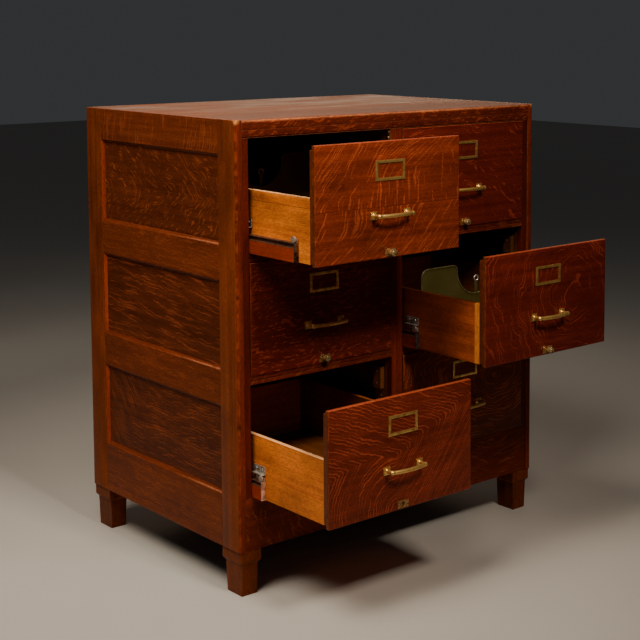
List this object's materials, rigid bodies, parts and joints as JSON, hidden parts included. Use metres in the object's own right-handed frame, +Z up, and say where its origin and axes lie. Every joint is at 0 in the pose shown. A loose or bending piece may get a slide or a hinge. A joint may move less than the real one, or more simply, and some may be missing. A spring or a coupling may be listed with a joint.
{
  "type": "filing cabinet",
  "caption": "Wooden filing cabinet with two columns of full-extension drawers in a frame-and-panel case on short feet, for storing upright folders; some drawers stand open.",
  "frame": {"origin": "on the floor, under the middle of the bounding box of the cabinet with three drawers open as stored", "axes": "+X right along the front, +Y from the front to the back, +Z up"},
  "size_m": [1, 1.0508, 1.155],
  "materials": {
    "case_oak": "satin varnish",
    "panel_oak": "satin varnish",
    "front_oak": "satin varnish",
    "inner_wood": "plain wood",
    "drawer_wood": "satin varnish",
    "slide_wood": "satin varnish",
    "brass": "aged",
    "steel": "worn",
    "nickel": "polished",
    "green_paint": "satin"
  },
  "bodies": {
    "case": {"case_top": "case_oak", "side_frames": "case_oak", "side_panels": "panel_oak", "case_back": "panel_oak", "front_frame": "case_oak", "inner_case": "inner_wood", "case_runners": "inner_wood", "feet": "case_oak"},
    "top_left_slides": {"top_left_slides": "slide_wood"},
    "top_left_drawer": {"top_left_front": "front_oak", "top_left_box": "drawer_wood", "top_left_pull": "brass", "top_left_fittings": "brass", "top_left_brackets": "steel"},
    "top_left_rollers": {"top_left_rollers": "steel"},
    "top_left_rod": {"top_left_rod": "nickel"},
    "top_left_follower": {"top_left_follower": "green_paint"},
    "top_right_slides": {"top_right_slides": "slide_wood"},
    "top_right_drawer": {"top_right_front": "front_oak", "top_right_box": "drawer_wood", "top_right_pull": "brass", "top_right_fittings": "brass", "top_right_brackets": "steel"},
    "top_right_rollers": {"top_right_rollers": "steel"},
    "top_right_rod": {"top_right_rod": "nickel"},
    "top_right_follower": {"top_right_follower": "green_paint"},
    "middle_left_slides": {"middle_left_slides": "slide_wood"},
    "middle_left_drawer": {"middle_left_front": "front_oak", "middle_left_box": "drawer_wood", "middle_left_pull": "brass", "middle_left_fittings": "brass", "middle_left_brackets": "steel"},
    "middle_left_rollers": {"middle_left_rollers": "steel"},
    "middle_left_rod": {"middle_left_rod": "nickel"},
    "middle_left_follower": {"middle_left_follower": "green_paint"},
    "middle_right_slides": {"middle_right_slides": "slide_wood"},
    "middle_right_drawer": {"middle_right_front": "front_oak", "middle_right_box": "drawer_wood", "middle_right_pull": "brass", "middle_right_fittings": "brass", "middle_right_brackets": "steel"},
    "middle_right_rollers": {"middle_right_rollers": "steel"},
    "middle_right_rod": {"middle_right_rod": "nickel"},
    "middle_right_follower": {"middle_right_follower": "green_paint"},
    "bottom_left_slides": {"bottom_left_slides": "slide_wood"},
    "bottom_left_drawer": {"bottom_left_front": "front_oak", "bottom_left_box": "drawer_wood", "bottom_left_pull": "brass", "bottom_left_fittings": "brass", "bottom_left_brackets": "steel"},
    "bottom_left_rollers": {"bottom_left_rollers": "steel"},
    "bottom_right_slides": {"bottom_right_slides": "slide_wood"},
    "bottom_right_drawer": {"bottom_right_front": "front_oak", "bottom_right_box": "drawer_wood", "bottom_right_pull": "brass", "bottom_right_fittings": "brass", "bottom_right_brackets": "steel"},
    "bottom_right_rollers": {"bottom_right_rollers": "steel"},
    "bottom_right_rod": {"bottom_right_rod": "nickel"},
    "bottom_right_follower": {"bottom_right_follower": "green_paint"}
  },
  "joints": [
    {"name": "top_left_slides_travel", "type": "slide", "parent": "case", "child": "top_left_slides", "axis": [0, -1, 0], "range_m": [-0.209, 0.131]},
    {"name": "top_left_drawer_travel", "type": "slide", "parent": "top_left_slides", "child": "top_left_drawer", "axis": [0, -1, 0], "range_m": [-0.043, 0.187]},
    {"name": "top_left_rollers_turn", "type": "hinge", "parent": "top_left_drawer", "child": "top_left_rollers", "pos_m": [-0.24, -0.14745, 0.8765], "axis": [1, 0, 0], "continuous": true},
    {"name": "top_left_rod_pull", "type": "slide", "parent": "top_left_drawer", "child": "top_left_rod", "axis": [0, -1, 0], "range_m": [0, 0.4]},
    {"name": "top_left_follower_travel", "type": "slide", "parent": "top_left_drawer", "child": "top_left_follower", "axis": [0, 1, 0], "range_m": [-0.458, 0.075]},
    {"name": "top_right_slides_travel", "type": "slide", "parent": "case", "child": "top_right_slides", "axis": [0, -1, 0], "range_m": [0, 0.34]},
    {"name": "top_right_drawer_travel", "type": "slide", "parent": "top_right_slides", "child": "top_right_drawer", "axis": [0, -1, 0], "range_m": [0, 0.23]},
    {"name": "top_right_rollers_turn", "type": "hinge", "parent": "top_right_drawer", "child": "top_right_rollers", "pos_m": [0.24, 0.10455, 0.8765], "axis": [1, 0, 0], "continuous": true},
    {"name": "top_right_rod_pull", "type": "slide", "parent": "top_right_drawer", "child": "top_right_rod", "axis": [0, -1, 0], "range_m": [0, 0.4]},
    {"name": "top_right_follower_travel", "type": "slide", "parent": "top_right_drawer", "child": "top_right_follower", "axis": [0, 1, 0], "range_m": [-0.458, 0.075]},
    {"name": "middle_left_slides_travel", "type": "slide", "parent": "case", "child": "middle_left_slides", "axis": [0, -1, 0], "range_m": [0, 0.34]},
    {"name": "middle_left_drawer_travel", "type": "slide", "parent": "middle_left_slides", "child": "middle_left_drawer", "axis": [0, -1, 0], "range_m": [0, 0.23]},
    {"name": "middle_left_rollers_turn", "type": "hinge", "parent": "middle_left_drawer", "child": "middle_left_rollers", "pos_m": [-0.24, 0.10455, 0.58], "axis": [1, 0, 0], "continuous": true},
    {"name": "middle_left_rod_pull", "type": "slide", "parent": "middle_left_drawer", "child": "middle_left_rod", "axis": [0, -1, 0], "range_m": [0, 0.4]},
    {"name": "middle_left_follower_travel", "type": "slide", "parent": "middle_left_drawer", "child": "middle_left_follower", "axis": [0, 1, 0], "range_m": [-0.458, 0.075]},
    {"name": "middle_right_slides_travel", "type": "slide", "parent": "case", "child": "middle_right_slides", "axis": [0, -1, 0], "range_m": [-0.082, 0.258]},
    {"name": "middle_right_drawer_travel", "type": "slide", "parent": "middle_right_slides", "child": "middle_right_drawer", "axis": [0, -1, 0], "range_m": [-0.224, 0.006]},
    {"name": "middle_right_rollers_turn", "type": "hinge", "parent": "middle_right_drawer", "child": "middle_right_rollers", "pos_m": [0.24, -0.20145, 0.58], "axis": [1, 0, 0], "continuous": true},
    {"name": "middle_right_rod_pull", "type": "slide", "parent": "middle_right_drawer", "child": "middle_right_rod", "axis": [0, -1, 0], "range_m": [0, 0.4]},
    {"name": "middle_right_follower_travel", "type": "slide", "parent": "middle_right_drawer", "child": "middle_right_follower", "axis": [0, 1, 0], "range_m": [-0.20104, 0.33196]},
    {"name": "bottom_left_slides_travel", "type": "slide", "parent": "case", "child": "bottom_left_slides", "axis": [0, -1, 0], "range_m": [-0.07, 0.27]},
    {"name": "bottom_left_drawer_travel", "type": "slide", "parent": "bottom_left_slides", "child": "bottom_left_drawer", "axis": [0, -1, 0], "range_m": [-0.226, 0.004]},
    {"name": "bottom_left_rollers_turn", "type": "hinge", "parent": "bottom_left_drawer", "child": "bottom_left_rollers", "pos_m": [-0.24, -0.19145, 0.2835], "axis": [1, 0, 0], "continuous": true},
    {"name": "bottom_right_slides_travel", "type": "slide", "parent": "case", "child": "bottom_right_slides", "axis": [0, -1, 0], "range_m": [0, 0.34]},
    {"name": "bottom_right_drawer_travel", "type": "slide", "parent": "bottom_right_slides", "child": "bottom_right_drawer", "axis": [0, -1, 0], "range_m": [0, 0.23]},
    {"name": "bottom_right_rollers_turn", "type": "hinge", "parent": "bottom_right_drawer", "child": "bottom_right_rollers", "pos_m": [0.24, 0.10455, 0.2835], "axis": [1, 0, 0], "continuous": true},
    {"name": "bottom_right_rod_pull", "type": "slide", "parent": "bottom_right_drawer", "child": "bottom_right_rod", "axis": [0, -1, 0], "range_m": [0, 0.4]},
    {"name": "bottom_right_follower_travel", "type": "slide", "parent": "bottom_right_drawer", "child": "bottom_right_follower", "axis": [0, 1, 0], "range_m": [-0.458, 0.075]}
  ],
  "couplings": [
    {"joint": "top_left_rollers_turn", "follows": "top_left_drawer_travel", "rad_per_m": 238.1},
    {"joint": "top_right_rollers_turn", "follows": "top_right_drawer_travel", "rad_per_m": 238.1},
    {"joint": "middle_left_rollers_turn", "follows": "middle_left_drawer_travel", "rad_per_m": 238.1},
    {"joint": "middle_right_rollers_turn", "follows": "middle_right_drawer_travel", "rad_per_m": 238.1},
    {"joint": "bottom_left_rollers_turn", "follows": "bottom_left_drawer_travel", "rad_per_m": 238.1},
    {"joint": "bottom_right_rollers_turn", "follows": "bottom_right_drawer_travel", "rad_per_m": 238.1}
  ]
}
